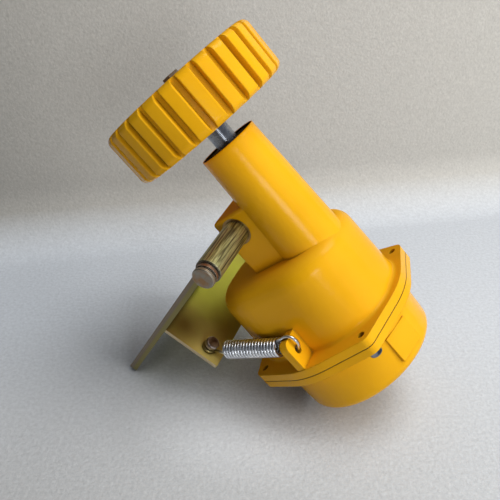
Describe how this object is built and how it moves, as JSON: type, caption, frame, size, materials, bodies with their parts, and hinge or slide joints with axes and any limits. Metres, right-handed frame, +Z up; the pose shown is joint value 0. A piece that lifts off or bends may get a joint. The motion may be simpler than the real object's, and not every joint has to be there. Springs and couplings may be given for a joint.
{
  "type": "belt slip switch",
  "caption": "Conveyor belt slip switch: ribbed contact wheel on a spindle in a cast yellow housing that swings on a slotted bracket, held to the belt by a tension spring.",
  "frame": {"origin": "centre of the two mounting slots, on the face of the plate that goes against the conveyor", "axes": "+X away from the conveyor along the slots' bolts, +Y along the line of the slots, +Z up along the plate towards the pivot pin"},
  "size_m": [0.2415, 0.134, 0.2587],
  "materials": {
    "yellow_paint": "gloss yellow enamel over an aluminium casting",
    "yellow_zinc": "yellow passivated zinc plate",
    "bright_steel": "ground steel",
    "zinc_steel": "bright zinc plate",
    "black_steel": "black oxide",
    "black_rubber": "matte",
    "gasket_rubber": "matte",
    "bronze": "plain",
    "nickel_brass": "nickel plate",
    "plain_aluminium": "machined",
    "board_green": "solder mask",
    "black_plastic": "moulded",
    "terminal_plastic": "moulded"
  },
  "bodies": {
    "bracket": {"mounting_bracket": "yellow_zinc", "pivot_pin": "yellow_zinc", "pin_washer": "zinc_steel", "pin_circlip": "black_steel", "anchor_screw": "zinc_steel", "anchor_washer": "zinc_steel", "anchor_nut": "zinc_steel", "tension_spring": "zinc_steel"},
    "housing": {"housing": "yellow_paint", "cover": "yellow_paint", "cover_gasket": "gasket_rubber", "cover_screws": "zinc_steel", "cover_washers": "zinc_steel", "pivot_bush": "bronze", "shaft_seal": "black_rubber", "front_bearing_outer": "bright_steel", "front_bearing_seal": "black_rubber", "rear_bearing_outer": "bright_steel", "rear_bearing_seal": "black_rubber", "bearing_circlip": "black_steel", "gland_body": "nickel_brass", "gland_seal": "black_rubber", "gland_nut": "nickel_brass", "circuit_board": "board_green", "board_standoffs": "nickel_brass", "board_screws": "zinc_steel", "sensor": "black_plastic", "terminal_block": "terminal_plastic"},
    "wheel": {"contact_wheel": "yellow_paint", "spindle": "bright_steel", "wheel_key": "bright_steel", "wheel_washer": "zinc_steel", "wheel_bolt": "black_steel", "front_bearing_inner": "bright_steel", "rear_bearing_inner": "bright_steel", "bearing_spacer": "bright_steel", "spindle_circlip": "black_steel", "magnet_disc": "plain_aluminium", "disc_magnets": "bright_steel", "disc_screw": "zinc_steel"}
  },
  "joints": [
    {"name": "swing", "type": "hinge", "parent": "bracket", "child": "housing", "pos_m": [0.006, 0, 0.12], "axis": [0, -1, 0], "range_deg": [0, 30], "stiffness_Nm_per_rad": 10, "springref_deg": -4.01, "deforming": ["tension_spring"]},
    {"name": "wheel_spin", "type": "hinge", "parent": "housing", "child": "wheel", "pos_m": [-0.06041, 0, 0.16958], "axis": [-0.9563, 0, 0.2924], "continuous": true}
  ]
}
